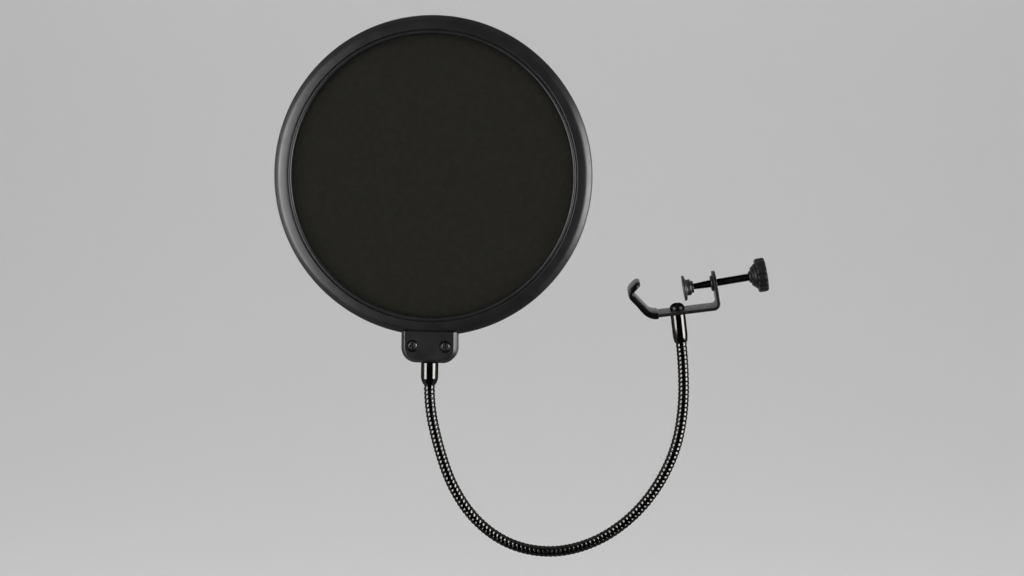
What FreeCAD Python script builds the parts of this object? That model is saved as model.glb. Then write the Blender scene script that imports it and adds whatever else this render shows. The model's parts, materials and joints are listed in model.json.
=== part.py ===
import FreeCAD, Part
import math
import os

import Sketcher

# Pop filter: a double nylon screen in a plastic hoop, carried by a gooseneck on a screw clamp.
# Millimetres. +Z is up, +X runs from the hoop towards the clamp, -Y is the side the user speaks to.
# The origin is the middle of the clamp's jaw, where the stand's tube goes.

SIZES = {
    # hoop, seen from its own middle
    "hoop_radius": 80.0,
    "hoop_side": 2.8,
    "crease_radius": 77.4,
    "crease_height": 4.5,
    "face_radius": 73.0,
    "face_height": 5.4,
    "groove_radius": 72.6,
    "groove_height": 4.8,
    "bead_outer": 72.2,
    "bead_inner": 71.0,
    "bead_height": 5.6,
    "lip_radius": 70.5,
    "lip_height": 4.6,
    "seat_height": 2.2,
    "cavity_radius": 77.6,
    "screen_radius": 76.4,
    "screen_thickness": 0.3,
    "spacer_outer": 77.0,
    "spacer_inner": 71.4,
    # tab under the hoop
    "tab_half_width": 14.2,
    "tab_top": 77.7,
    "tab_bottom": 93.6,
    "tab_corner": 7.5,
    "tab_half_depth": 4.7,
    "tab_bevel": 1.75,
    # the two screws through the tab
    "screw_offset": 8.3,
    "screw_drop": 85.1,
    "screw_head": 2.9,
    "screw_crown": 1.8,
    "screw_head_height": 1.4,
    "screw_seat": 2.6,
    "screw_shank": 1.25,
    "screw_length": 5.4,
    "recess_width": 0.75,
    "recess_span": 3.2,
    "recess_depth": 1.0,
    # gooseneck and its two ferrules
    "neck_radius": 2.75,
    "neck_length": 259.7,
    "neck_plug": 6.0,
    "socket_gap": 0.3,
    "fit_gap": 0.05,
    "plug_slack": 0.4,
    "head_ferrule_radius": 4.35,
    "head_ferrule_length": 11.2,
    "ferrule_taper": 2.8,
    "taper_radius": 3.2,
    "stem_radius": 2.5,
    "stem_length": 6.2,
    "collar_radius": 3.4,
    "collar_height": 2.3,
    "clamp_ferrule_radius": 3.7,
    "clamp_ferrule_length": 14.4,
    # stud, washer and dome nut
    "stud_radius": 2.0,
    "stud_grip": 2.0,
    "washer_thickness": 0.6,
    "washer_radius": 3.5,
    "nut_radius": 3.6,
    "nut_side": 1.2,
    "nut_shoulder_radius": 3.2,
    "nut_shoulder": 2.2,
    "nut_crown_radius": 2.2,
    "nut_crown": 3.0,
    "nut_height": 3.3,
    "nut_bore": 2.3,
    # clamp, seen from the middle of its jaw
    "bar_width": 14.0,
    "bar_thickness": 1.6,
    "base_drop": 12.8,
    "stud_reach": 7.9,
    "upright_reach": 28.4,
    "upright_top": 5.2,
    "upright_lean": 2.8,
    "hook_start": 6.1,
    "hook_reach": 15.4,
    "hook_rise": 0.0,
    "tip_reach": 9.8,
    "tip_rise": 4.4,
    "base_bend": 2.6,
    "hook_bend": 7.0,
    "tip_bend": 3.0,
    "upright_corner": 6.2,
    "tip_corner": 3.0,
    "sleeve_wall": 0.7,
    "sleeve_end": 0.7,
    "sleeve_start": 1.8,
    "sleeve_edge": 0.9,
    # clamping screw, pad and knob, from the pad's face outwards
    "screw_line": 1.7,
    "pad_face": 11.9,
    "pad_radius": 6.3,
    "pad_rim": 1.1,
    "pad_cone": 1.8,
    "pad_hub_radius": 4.0,
    "pad_hub_end": 3.8,
    "pad_collar_start": 4.0,
    "pad_collar_radius": 3.0,
    "pad_length": 5.2,
    "tip_radius": 1.75,
    "tip_start": 2.1,
    "tip_end": 4.0,
    "tip_neck_radius": 1.4,
    "tip_neck_end": 5.6,
    "thread_radius": 1.95,
    "thread_start": 6.1,
    "boss_radius": 2.9,
    "boss_flange": 3.9,
    "boss_flange_height": 1.3,
    "hub_start": 33.1,
    "hub_radius": 3.0,
    "hub_shoulder": 34.7,
    "hub_shoulder_radius": 4.9,
    "hub_base_radius": 6.3,
    "rim_start": 36.9,
    "rim_end": 41.8,
    "rim_edge": 0.6,
    "knob_radius": 8.55,
    "scallop_radius": 1.7,
    "scallop_centre": 9.65,
}

# How far the gooseneck turns in each of its twelve links, in degrees, from the hoop to the clamp.
LINK_TURNS = (13.2, 6.6, 15.4, 21.5, 25.5, 23.9, 19.6, 16.2, 15.0, 15.7, 10.1, 5.5)
# The last joints also lean the clamp's top towards the user, by this much each.
LEAN_JOINTS = (9, 10, 11)
LEAN_STEP = 2.2
# The hoop and its tab are turned this much in their own plane, tab to the left.
HEAD_TILT = 1.05
# They are also turned on the head ferrule's stem, so that the front looks a little away from the clamp.
HEAD_YAW = 5.0
SCALLOPS = 12
# How far the tools that cut holes reach past the surfaces they open.
OVERCUT = 1.0

doc = FreeCAD.newDocument("PopFilter")
sheet = doc.addObject("Spreadsheet::Sheet", "Sizes")
for row, (alias, size_value) in enumerate(SIZES.items(), start=1):
    sheet.set("A%d" % row, alias)
    sheet.set("B%d" % row, str(size_value))
    sheet.setAlias("B%d" % row, alias)
doc.recompute()


class Size:
    """A length or angle that knows its value and the sheet formula it follows."""

    def __init__(self, value, formula):
        self.value = value
        self.formula = formula

    def __add__(self, other):
        return Size(self.value + number(other), "(%s + %s)" % (self.formula, words(other)))

    def __sub__(self, other):
        return Size(self.value - number(other), "(%s - %s)" % (self.formula, words(other)))

    def __mul__(self, other):
        return Size(self.value * number(other), "(%s * %s)" % (self.formula, words(other)))

    def __truediv__(self, other):
        return Size(self.value / number(other), "(%s / %s)" % (self.formula, words(other)))

    def __neg__(self):
        return Size(-self.value, "(0 - %s)" % self.formula)


def number(term):
    return term.value if isinstance(term, Size) else float(term)


def words(term):
    return term.formula if isinstance(term, Size) else repr(float(term))


def size(alias):
    return Size(float(getattr(sheet, alias)), "Sizes.%s" % alias)


def bind(feature, prop, term):
    """Give a feature's property its value and tie it to the sheet."""
    setattr(feature, prop, number(term))
    if isinstance(term, Size):
        feature.setExpression(prop, term.formula)


def vec(x, y, z):
    return FreeCAD.Vector(number(x), number(y), number(z))


def place(x=0, y=0, z=0, rotation=None):
    return FreeCAD.Placement(vec(x, y, z), rotation or FreeCAD.Rotation())


def turn(axis, degrees):
    return FreeCAD.Rotation(FreeCAD.Vector(*axis), degrees)


# ---------------------------------------------------------------- sketch and feature helpers

def origin_plane(body, role):
    for feature in body.Origin.OriginFeatures:
        if feature.Role == role:
            return feature
    raise ValueError("no origin plane " + role)


def pin_corner(sketch, line, direction, distance):
    """Hold one corner of an outline at its distance from the sketch's origin."""
    if number(distance) == 0:
        axis = -2 if direction == "DistanceX" else -1
        sketch.addConstraint(Sketcher.Constraint("PointOnObject", line, 1, axis))
        return
    index = sketch.addConstraint(Sketcher.Constraint(direction, -1, 1, line, 1, number(distance)))
    if isinstance(distance, Size):
        sketch.setExpression("Constraints[%d]" % index, distance.formula)


def new_sketch(body, role, name):
    sketch = body.newObject("Sketcher::SketchObject", name)
    sketch.AttachmentSupport = [(origin_plane(body, role), "")]
    sketch.MapMode = "FlatFace"
    return sketch


def outline(body, role, name, corners):
    """A closed outline of straight lines whose corners follow the sheet."""
    sketch = new_sketch(body, role, name)
    count = len(corners)
    for i in range(count):
        start = vec(corners[i][0], corners[i][1], 0)
        end = vec(corners[(i + 1) % count][0], corners[(i + 1) % count][1], 0)
        sketch.addGeometry(Part.LineSegment(start, end), False)
    for i in range(count):
        sketch.addConstraint(Sketcher.Constraint("Coincident", i, 2, (i + 1) % count, 1))
    for i, (across, up) in enumerate(corners):
        pin_corner(sketch, i, "DistanceX", across)
        pin_corner(sketch, i, "DistanceY", up)
    return sketch


def turned(name, corners):
    """A body turned about its Z axis from an outline of (radius, height) corners."""
    body = doc.addObject("PartDesign::Body", name)
    sketch = outline(body, "XZ_Plane", name + "_section", corners)
    revolution = body.newObject("PartDesign::Revolution", name + "_turned")
    revolution.Profile = sketch
    revolution.ReferenceAxis = (sketch, ["V_Axis"])
    revolution.Angle = 360.0
    return body


def finish(feature, name, placement):
    """Name a finished sub-part and put it in its place in the assembly."""
    feature.Label = name
    feature.Placement = placement
    return feature


def cylinder(name, radius, height, placement):
    feature = doc.addObject("Part::Cylinder", name)
    bind(feature, "Radius", radius)
    bind(feature, "Height", height)
    feature.Placement = placement
    return feature


def sphere(name, radius, placement):
    feature = doc.addObject("Part::Sphere", name)
    bind(feature, "Radius", radius)
    feature.Placement = placement
    return feature


def box(name, length, width, height, placement):
    feature = doc.addObject("Part::Box", name)
    bind(feature, "Length", length)
    bind(feature, "Width", width)
    bind(feature, "Height", height)
    feature.Placement = placement
    return feature


def fused(name, features):
    result = doc.addObject("Part::MultiFuse", name)
    result.Shapes = features
    return result


def cut(name, base, tools):
    """The base with every tool's volume taken away."""
    result = doc.addObject("Part::Cut", name)
    result.Base = base
    result.Tool = tools[0] if len(tools) == 1 else fused(name + "_tools", tools)
    return result


def edge_names(shape, wanted):
    return ["Edge%d" % i for i, edge in enumerate(shape.Edges, start=1) if wanted(edge)]


# ---------------------------------------------------------------- gooseneck and clamp positions

def arc_step(length, degrees):
    """From one end of a link to the other: down along -Z while turning towards +X."""
    radius = length / math.radians(degrees)
    centre = FreeCAD.Placement(FreeCAD.Vector(radius, 0, 0), FreeCAD.Rotation())
    swing = FreeCAD.Placement(FreeCAD.Vector(), turn((0, 1, 0), -degrees))
    return centre * swing * centre.inverse()


def neck_frames():
    """The gooseneck's joints from the head ferrule's mouth to the clamp ferrule's mouth.

    In each frame the gooseneck runs along -Z, X lies in the plane of its bend and Y across it.
    The first list holds the frames in which links start, the second those in which they end.
    """
    link_length = size("neck_length").value / len(LINK_TURNS)
    lean = FreeCAD.Placement(FreeCAD.Vector(), turn((1, 0, 0), -LEAN_STEP))
    starts = [FreeCAD.Placement(FreeCAD.Vector(), turn((0, 1, 0), HEAD_TILT))]
    ends = []
    for i, degrees in enumerate(LINK_TURNS, start=1):
        end = starts[-1] * arc_step(link_length, degrees)
        ends.append(end)
        starts.append(end * lean if i in LEAN_JOINTS else end)
    return starts, ends


def ferrule_mouth():
    """Where the clamp's ferrule opens, in the clamp's own frame."""
    drop = size("base_drop") + size("bar_thickness") / 2 + size("fit_gap") + size("washer_thickness")
    return place(size("stud_reach"), 0, -(drop + size("clamp_ferrule_length")))


STARTS, ENDS = neck_frames()
clamp_in_head = ENDS[-1] * place(rotation=turn((0, 1, 0), 180)) * ferrule_mouth().inverse()
TO_ROW = FreeCAD.Placement(-clamp_in_head.Base, FreeCAD.Rotation())
CLAMP = TO_ROW * clamp_in_head
HEAD_FERRULE = TO_ROW * STARTS[0] * place(z=size("head_ferrule_length"))
HOOP = HEAD_FERRULE * place(z=size("tab_bottom"), rotation=turn((0, 0, 1), -HEAD_YAW))
FACE_FRONT = place(rotation=turn((1, 0, 0), 90))
FACE_REAR = FACE_FRONT * place(rotation=turn((0, 1, 0), 180))
# Turned parts of the clamping screw stand on the pad's face and point away from the jaw.
SCREW_IN_CLAMP = place(size("pad_face"), 0, -size("screw_line"), turn((0, 1, 0), 90 - size("upright_lean").value))
SCREW_AXIS = CLAMP * SCREW_IN_CLAMP


# ---------------------------------------------------------------- hoop

def hoop_shell(name):
    """Half of the hoop's shell: side wall, bevel, sloping face, groove, lip bead and the screen's seat."""
    return turned(name, [
        (size("hoop_radius"), 0),
        (size("hoop_radius"), size("hoop_side")),
        (size("crease_radius"), size("crease_height")),
        (size("face_radius"), size("face_height")),
        (size("groove_radius"), size("groove_height")),
        (size("bead_outer"), size("groove_height")),
        (size("bead_outer"), size("bead_height")),
        (size("bead_inner"), size("bead_height")),
        (size("lip_radius"), size("lip_height")),
        (size("lip_radius"), size("seat_height")),
        (size("cavity_radius"), size("seat_height")),
        (size("cavity_radius"), 0),
    ])


def tab_block(name):
    """Half of the tab: rounded lower corners and a bevel round its outer face."""
    body = doc.addObject("PartDesign::Body", name)
    half = size("tab_half_width")
    sketch = outline(body, "XY_Plane", name + "_outline", [
        (-half, -size("tab_top")),
        (-half, -size("tab_bottom")),
        (half, -size("tab_bottom")),
        (half, -size("tab_top")),
    ])
    pad = body.newObject("PartDesign::Pad", name + "_pad")
    pad.Profile = sketch
    bind(pad, "Length", size("tab_half_depth"))
    doc.recompute()

    low = -size("tab_bottom").value
    corners = edge_names(pad.Shape, lambda e: e.BoundBox.YMax < low + 0.01 and e.BoundBox.ZLength > 1)
    rounded = body.newObject("PartDesign::Fillet", name + "_corners")
    rounded.Base = (pad, corners)
    bind(rounded, "Radius", size("tab_corner"))
    doc.recompute()

    face = size("tab_half_depth").value
    top = -size("tab_top").value
    rim = edge_names(rounded.Shape, lambda e: e.BoundBox.ZMin > face - 0.01 and e.BoundBox.YMin < top - 0.01)
    bevel = body.newObject("PartDesign::Chamfer", name + "_bevel")
    bevel.Base = (rounded, rim)
    bind(bevel, "Size", size("tab_bevel"))
    return body


def ferrule_pocket(name):
    """The space in the tab for the head ferrule's stem and collar."""
    along = turn((1, 0, 0), -90)
    gap = size("fit_gap")
    bottom = -size("tab_bottom")
    stem = cylinder(name + "_stem", size("stem_radius") + gap, size("stem_length") + gap * 2,
                    place(0, bottom - gap, 0, along))
    collar = cylinder(name + "_collar", size("collar_radius") + gap, size("collar_height") + gap * 2,
                      place(0, bottom + size("stem_length") - gap, 0, along))
    return [stem, collar]


def screw_holes(name, through):
    """Counterbored holes in the front half, blind pilot holes in the rear half."""
    tools = []
    for label, side in (("left", -1), ("right", 1)):
        across = size("screw_offset") * side
        drop = -size("screw_drop")
        shank = size("screw_shank") + size("fit_gap")
        if through:
            depth = size("tab_half_depth") + OVERCUT
            seat = size("screw_seat")
            tools.append(cylinder(name + "_bore_" + label, shank, depth, place(across, drop, -OVERCUT / 2)))
            tools.append(cylinder(name + "_seat_" + label, size("screw_head") + size("fit_gap") * 2,
                                  size("tab_half_depth"), place(across, drop, seat)))
        else:
            depth = size("screw_length") - size("screw_seat") + size("plug_slack") + OVERCUT
            tools.append(cylinder(name + "_pilot_" + label, shank, depth, place(across, drop, -OVERCUT)))
    return tools


def hoop_half(name, through, facing):
    shell = hoop_shell(name + "_shell")
    tab = tab_block(name + "_tab")
    solid = fused(name + "_solid", [shell, tab])
    half = cut(name, solid, ferrule_pocket(name) + screw_holes(name, through))
    return finish(half, name, HOOP * facing)


def screen(name, facing):
    """One nylon screen, held at its edge between the shell's seat and the spacer."""
    disc = cylinder(name, size("screen_radius"), size("screen_thickness"), place())
    seat = size("seat_height") - size("screen_thickness")
    return finish(disc, name, HOOP * facing * place(z=seat))


def mesh_spacer():
    half = size("seat_height") - size("screen_thickness")
    spacer = turned("mesh_spacer", [
        (size("spacer_inner"), -half),
        (size("spacer_outer"), -half),
        (size("spacer_outer"), half),
        (size("spacer_inner"), half),
    ])
    return finish(spacer, "mesh_spacer", HOOP * FACE_FRONT)


def cross_screw(name, side):
    """A pan-head screw with a cross recess, standing on its seat with the head towards +Z."""
    head = size("screw_head")
    blank = turned(name + "_blank", [
        (0, -size("screw_length")),
        (size("screw_shank"), -size("screw_length")),
        (size("screw_shank"), 0),
        (head, 0),
        (head, size("screw_head_height") / 2),
        (size("screw_crown"), size("screw_head_height")),
        (0, size("screw_head_height")),
    ])
    span = size("recess_span")
    width = size("recess_width")
    base = size("screw_head_height") - size("recess_depth")
    blades = [
        box(name + "_blade_across", span, width, size("screw_head_height"), place(-span / 2, -width / 2, base)),
        box(name + "_blade_up", width, span, size("screw_head_height"), place(-width / 2, -span / 2, base)),
    ]
    screw = cut(name, blank, blades)
    screw.Placement = place(size("screw_offset") * side, -size("screw_drop"), size("screw_seat"))
    return screw


def neck_screws():
    pair = doc.addObject("Part::Compound", "neck_screws")
    pair.Links = [cross_screw("screw_left", -1), cross_screw("screw_right", 1)]
    return finish(pair, "neck_screws", HOOP * FACE_FRONT)


# ---------------------------------------------------------------- gooseneck

def head_ferrule():
    """Tapered sleeve below the tab, with the stem and collar that the tab's halves hold."""
    length = size("head_ferrule_length")
    bore = size("neck_radius") + size("fit_gap")
    bore_end = -(length - size("neck_plug") - size("plug_slack"))
    ferrule = turned("head_ferrule", [
        (0, size("stem_length") + size("collar_height")),
        (size("collar_radius"), size("stem_length") + size("collar_height")),
        (size("collar_radius"), size("stem_length")),
        (size("stem_radius"), size("stem_length")),
        (size("stem_radius"), 0),
        (size("head_ferrule_radius"), 0),
        (size("head_ferrule_radius"), -(length - size("ferrule_taper"))),
        (size("taper_radius"), -length),
        (bore, -length),
        (bore, bore_end),
        (0, bore_end),
    ])
    return finish(ferrule, "head_ferrule", HEAD_FERRULE)


def link_arc(name, degrees):
    """The curved tube of one link, from its start at the origin along -Z towards +X."""
    radius = size("neck_length") / (len(LINK_TURNS) * math.radians(degrees))
    arc = doc.addObject("Part::Torus", name + "_arc")
    bind(arc, "Radius1", radius)
    bind(arc, "Radius2", size("neck_radius"))
    arc.Angle3 = degrees
    facing = FreeCAD.Rotation(FreeCAD.Vector(-1, 0, 0), FreeCAD.Vector(0, 0, -1), FreeCAD.Vector(0, -1, 0), "XYZ")
    arc.Placement = place(radius, 0, 0, facing)
    return arc


def neck_link(index, degrees):
    """One rigid link: a ball at its clamp end, a socket for the last link's ball at its head end."""
    name = "neck_%02d" % index
    last = index == len(LINK_TURNS)
    step = arc_step(size("neck_length").value / len(LINK_TURNS), degrees)
    solids = [link_arc(name, degrees)]
    if index == 1:
        solids.append(cylinder(name + "_plug", size("neck_radius"), size("neck_plug"), place()))
    if last:
        plug_frame = step * place(z=-size("neck_plug"))
        solids.append(cylinder(name + "_plug", size("neck_radius"), size("neck_plug"), plug_frame))
    else:
        solids.append(sphere(name + "_ball", size("neck_radius"), step))
    link = fused(name + "_solid", solids)
    if index > 1:
        link = cut(name, link, [sphere(name + "_socket", size("neck_radius") + size("socket_gap"), place())])
    return finish(link, name, TO_ROW * STARTS[index - 1])


def nut_rise():
    """From the ferrule's shoulder to the dome nut, through the washer and the bar."""
    return size("washer_thickness") + size("bar_thickness") + size("fit_gap") * 2


def clamp_ferrule():
    """Tapered sleeve at the clamp end; its stud goes up through the bar into the dome nut."""
    length = size("clamp_ferrule_length")
    bore = size("neck_radius") + size("fit_gap")
    bore_end = size("neck_plug") + size("plug_slack")
    stud_end = length + nut_rise() + size("stud_grip")
    ferrule = turned("clamp_ferrule", [
        (bore, 0),
        (size("taper_radius"), 0),
        (size("clamp_ferrule_radius"), size("ferrule_taper")),
        (size("clamp_ferrule_radius"), length),
        (size("stud_radius"), length),
        (size("stud_radius"), stud_end),
        (0, stud_end),
        (0, bore_end),
        (bore, bore_end),
    ])
    return finish(ferrule, "clamp_ferrule", CLAMP * ferrule_mouth())


def stud_washer():
    hole = size("stud_radius") + size("fit_gap")
    washer = turned("stud_washer", [
        (hole, 0),
        (size("washer_radius"), 0),
        (size("washer_radius"), size("washer_thickness")),
        (hole, size("washer_thickness")),
    ])
    return finish(washer, "stud_washer", CLAMP * ferrule_mouth() * place(z=size("clamp_ferrule_length")))


def stud_nut():
    """Dome nut on the stud, on the bar's inner face."""
    hole = size("stud_radius") + size("fit_gap")
    nut = turned("stud_nut", [
        (hole, 0),
        (size("nut_radius"), 0),
        (size("nut_radius"), size("nut_side")),
        (size("nut_shoulder_radius"), size("nut_shoulder")),
        (size("nut_crown_radius"), size("nut_crown")),
        (0, size("nut_height")),
        (0, size("nut_bore")),
        (hole, size("nut_bore")),
    ])
    rise = size("clamp_ferrule_length") + nut_rise()
    return finish(nut, "stud_nut", CLAMP * ferrule_mouth() * place(z=rise))


# ---------------------------------------------------------------- clamp

def rounded_path(points, radii):
    """A wire of straight lines through the points, each inner corner replaced by its bend."""
    edges = []
    start = points[0]
    for i in range(1, len(points) - 1):
        back = (points[i - 1] - points[i]).normalize()
        ahead = (points[i + 1] - points[i]).normalize()
        half = back.getAngle(ahead) / 2
        reach = radii[i - 1] / math.tan(half)
        middle = (back + ahead).normalize() * (radii[i - 1] / math.sin(half) - radii[i - 1])
        bend_start = points[i] + back * reach
        bend_end = points[i] + ahead * reach
        edges.append(Part.makeLine(start, bend_start))
        edges.append(Part.Arc(bend_start, points[i] + middle, bend_end).toShape())
        start = bend_end
    edges.append(Part.makeLine(start, points[-1]))
    return Part.Wire(edges)


def bar_points():
    """The bent bar's middle line, from the top of the upright to the tip of the hook."""
    base = -size("base_drop").value
    upright = size("upright_reach").value
    height = size("upright_top").value - base
    lean = height * math.tan(math.radians(size("upright_lean").value))
    return [
        vec(upright - lean, 0, size("upright_top")),
        vec(upright, 0, base),
        vec(-size("hook_start"), 0, base),
        vec(-size("hook_reach"), 0, size("hook_rise")),
        vec(-size("tip_reach"), 0, size("tip_rise")),
    ]


def bend_radii():
    return [size("base_bend").value, size("hook_bend").value, size("tip_bend").value]


def swept_strip(points, radii, width, thickness, edge_radius):
    """A strip of the given width across Y, swept along a bent path, with rounded long edges."""
    path = rounded_path(points, radii)
    ahead = (points[1] - points[0]).normalize()
    across = FreeCAD.Vector(0, 1, 0)
    through = across.cross(ahead)
    corners = []
    for side, face in ((-1, -1), (1, -1), (1, 1), (-1, 1)):
        corners.append(points[0] + across * (side * width / 2) + through * (face * thickness / 2))
    section = Part.makePolygon(corners + corners[:1])
    strip = path.makePipeShell([section], True, True)
    if edge_radius > 0:
        long_edges = [e for e in strip.Edges if abs(e.BoundBox.YLength) < 0.01 and e.Length > thickness + 0.01]
        strip = strip.makeFillet(edge_radius, long_edges)
    return strip


def rounded_end(strip, end, radius, thickness):
    """Round the strip's two corners at one of its ends, in the plane of its width."""
    reach = size("bar_width").value / 2
    corner_edges = []
    for edge in strip.Edges:
        from_end = (edge.CenterOfMass - end).Length
        if abs(from_end - reach) < 0.01 and abs(edge.Length - thickness) < 0.01:
            corner_edges.append(edge)
    return strip.makeFillet(radius, corner_edges)


def bar_solid():
    points = bar_points()
    thickness = size("bar_thickness").value
    strip = swept_strip(points, bend_radii(), size("bar_width").value, thickness, 0)
    strip = rounded_end(strip, points[0], size("upright_corner").value, thickness)
    return rounded_end(strip, points[-1], size("tip_corner").value, thickness)


def screw_to_upright():
    """Along the clamping screw, from the pad's face to the middle of the upright's thickness."""
    lean = math.radians(size("upright_lean").value)
    across = size("upright_reach") - size("pad_face")
    up = size("screw_line") - size("base_drop")
    return across * math.cos(lean) + up * math.sin(lean)


def clamp_frame():
    """The bent flat bar, with a hole for the stud and a hole for the screw's threaded boss."""
    depth = size("bar_thickness").value + OVERCUT * 2
    stud_hole = Part.makeCylinder(size("stud_radius").value + size("fit_gap").value, depth,
                                  vec(size("stud_reach"), 0, -size("base_drop") - depth / 2))
    boss_hole = Part.makeCylinder(size("boss_radius").value, depth, vec(0, 0, screw_to_upright() - depth / 2))
    boss_hole.Placement = SCREW_IN_CLAMP * boss_hole.Placement
    frame = doc.addObject("Part::Feature", "clamp_frame")
    frame.Shape = bar_solid().cut(stud_hole).cut(boss_hole)
    return finish(frame, "clamp_frame", CLAMP)


def hook_sleeve():
    """Soft sleeve over the hook, closed round the tip, open where it slips over the bar."""
    points = bar_points()[2:]
    wall = size("sleeve_wall").value
    tip_direction = (points[-1] - points[-2]).normalize()
    points.insert(0, vec(-size("sleeve_start"), 0, -size("base_drop")))
    points[-1] = points[-1] + tip_direction * size("sleeve_end").value
    thickness = size("bar_thickness").value + wall * 2
    width = size("bar_width").value + wall * 2
    skin = swept_strip(points, bend_radii()[1:], width, thickness, size("sleeve_edge").value)
    sleeve = doc.addObject("Part::Feature", "hook_sleeve")
    sleeve.Shape = skin.cut(bar_solid())
    return finish(sleeve, "hook_sleeve", CLAMP)


def screw_boss():
    """Threaded boss pressed into the upright, its flange on the inner face."""
    bore = size("thread_radius") + size("fit_gap")
    thickness = size("bar_thickness")
    boss = turned("screw_boss", [
        (bore, -size("boss_flange_height")),
        (size("boss_flange"), -size("boss_flange_height")),
        (size("boss_flange"), 0),
        (size("boss_radius"), 0),
        (size("boss_radius"), thickness),
        (bore, thickness),
    ])
    inner_face = screw_to_upright() - thickness / 2
    return finish(boss, "screw_boss", SCREW_AXIS * place(z=inner_face))


def clamp_screw():
    """The long screw; its necked tip is held in the pad, its other end is moulded into the knob."""
    thread = size("thread_radius")
    screw = turned("clamp_screw", [
        (0, size("tip_start")),
        (size("tip_radius"), size("tip_start")),
        (size("tip_radius"), size("tip_end")),
        (size("tip_neck_radius"), size("tip_end")),
        (size("tip_neck_radius"), size("tip_neck_end")),
        (thread, size("thread_start")),
        (thread, size("rim_start")),
        (0, size("rim_start")),
    ])
    return finish(screw, "clamp_screw", SCREW_AXIS)


def swivel_pad():
    """Pressure pad: flat face, stepped hub, and a lip that closes behind the screw's tip."""
    gap = size("fit_gap")
    pad = turned("swivel_pad", [
        (0, 0),
        (size("pad_radius"), 0),
        (size("pad_radius"), size("pad_rim")),
        (size("pad_hub_radius"), size("pad_cone")),
        (size("pad_hub_radius"), size("pad_hub_end")),
        (size("pad_collar_radius"), size("pad_collar_start")),
        (size("pad_collar_radius"), size("pad_length")),
        (size("tip_neck_radius") + gap, size("pad_length")),
        (size("tip_neck_radius") + gap, size("tip_end") + gap * 2),
        (size("tip_radius") + gap, size("tip_end") + gap * 2),
        (size("tip_radius") + gap, size("tip_start") - gap * 2),
        (0, size("tip_start") - gap * 2),
    ])
    return finish(pad, "swivel_pad", SCREW_AXIS)


def knob():
    """Round grip with scallops, on a domed hub that takes the end of the screw."""
    bore = size("thread_radius")
    rim = size("knob_radius")
    edge = size("rim_edge")
    body = turned("knob", [
        (bore, size("hub_start")),
        (size("hub_radius"), size("hub_start")),
        (size("hub_shoulder_radius"), size("hub_shoulder")),
        (size("hub_base_radius"), size("rim_start")),
        (rim - edge, size("rim_start")),
        (rim, size("rim_start") + edge),
        (rim, size("rim_end") - edge),
        (rim - edge, size("rim_end")),
        (0, size("rim_end")),
        (0, size("rim_start")),
        (bore, size("rim_start")),
    ])
    sketch = new_sketch(body, "XY_Plane", "scallop_circle")
    centre = size("scallop_centre")
    sketch.addGeometry(Part.Circle(vec(centre, 0, 0), vec(0, 0, 1), number(size("scallop_radius"))), False)
    sketch.addConstraint(Sketcher.Constraint("PointOnObject", 0, 3, -1))
    reach = sketch.addConstraint(Sketcher.Constraint("DistanceX", -1, 1, 0, 3, centre.value))
    sketch.setExpression("Constraints[%d]" % reach, centre.formula)
    radius = sketch.addConstraint(Sketcher.Constraint("Radius", 0, size("scallop_radius").value))
    sketch.setExpression("Constraints[%d]" % radius, size("scallop_radius").formula)
    scallop = body.newObject("PartDesign::Pocket", "scallop")
    scallop.Profile = sketch
    scallop.Reversed = True
    bind(scallop, "Length", size("rim_end") + OVERCUT)
    ring = body.newObject("PartDesign::PolarPattern", "scallops")
    ring.Originals = [scallop]
    ring.Axis = (sketch, ["N_Axis"])
    ring.Angle = 360.0
    ring.Occurrences = SCALLOPS
    body.Tip = ring
    return finish(body, "knob", SCREW_AXIS)


# ---------------------------------------------------------------- assembly

def build():
    parts = [
        hoop_half("front_ring", True, FACE_FRONT),
        hoop_half("rear_ring", False, FACE_REAR),
        screen("front_mesh", FACE_FRONT),
        screen("rear_mesh", FACE_REAR),
        mesh_spacer(),
        neck_screws(),
        head_ferrule(),
    ]
    for index, degrees in enumerate(LINK_TURNS, start=1):
        parts.append(neck_link(index, degrees))
    parts += [
        clamp_ferrule(),
        stud_washer(),
        stud_nut(),
        clamp_frame(),
        hook_sleeve(),
        screw_boss(),
        clamp_screw(),
        swivel_pad(),
        knob(),
    ]
    return parts


def check(part):
    if "Invalid" in part.State or "Error" in part.State:
        raise RuntimeError(part.Label + " did not recompute: " + str(part.State))
    if part.Shape.isNull() or not part.Shape.isValid():
        raise RuntimeError(part.Label + " has no valid shape")


def describe_frames():
    """Print where the joints are, for the assembly's description."""
    for i, start in enumerate(STARTS):
        frame = TO_ROW * start
        across = frame.Rotation.multVec(FreeCAD.Vector(0, 1, 0))
        inward = frame.Rotation.multVec(FreeCAD.Vector(1, 0, 0))
        print("joint", i, tuple(frame.Base), tuple(across), tuple(inward))
    for label, frame in (("clamp", CLAMP), ("hoop", HOOP), ("screw", SCREW_AXIS)):
        axes = [tuple(frame.Rotation.multVec(FreeCAD.Vector(*axis))) for axis in ((1, 0, 0), (0, 1, 0), (0, 0, 1))]
        print("frame", label, tuple(frame.Base), *axes)


os.makedirs("parts", exist_ok=True)
PARTS = build()
doc.recompute()
for part in PARTS:
    check(part)
    part.Shape.exportStep("parts/" + part.Label + ".step")
    bounds = part.Shape.BoundBox
    print("%-14s solids %d volume %.1f  x %.1f..%.1f y %.1f..%.1f z %.1f..%.1f" % (
        part.Label, len(part.Shape.Solids), part.Shape.Volume,
        bounds.XMin, bounds.XMax, bounds.YMin, bounds.YMax, bounds.ZMin, bounds.ZMax))
describe_frames()
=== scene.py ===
import json
import math

import bmesh
import bpy
from mathutils import Matrix, Vector


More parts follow.
